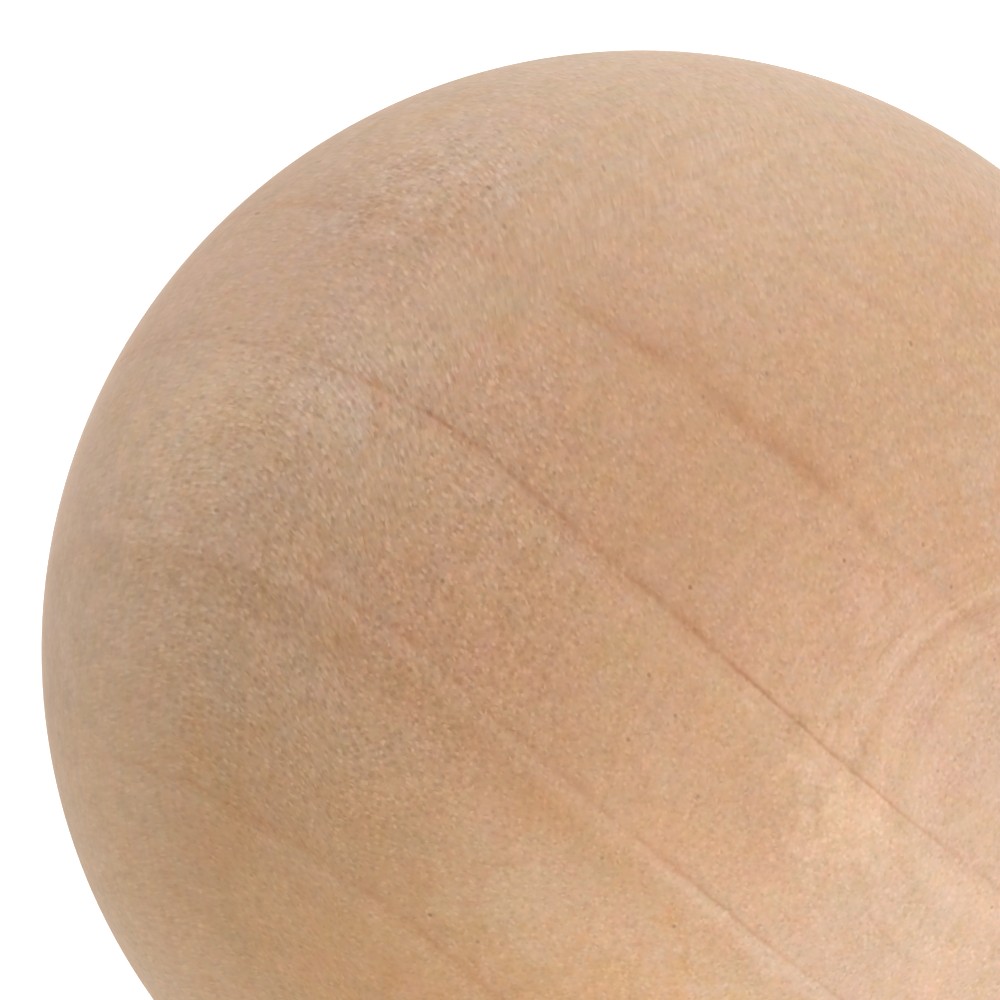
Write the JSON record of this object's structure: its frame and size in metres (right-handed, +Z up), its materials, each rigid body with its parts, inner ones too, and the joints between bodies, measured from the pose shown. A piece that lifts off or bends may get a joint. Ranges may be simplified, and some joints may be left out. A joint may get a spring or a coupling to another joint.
{
  "type": "wooden ball",
  "caption": "Plain solid wooden ball, turned from a single piece of pale hardwood and sanded smooth, undrilled and unfinished.",
  "frame": {"origin": "centre of the ball", "axes": "+Z up as the ball lies on a table, +X along the lathe axis that the ball was turned about"},
  "size_m": [0.04, 0.04, 0.04],
  "materials": {
    "wood": "turned and sanded bare hardwood, with growth rings and fine pores, no varnish"
  },
  "bodies": {
    "root": {"ball": "wood"}
  },
  "joints": []
}
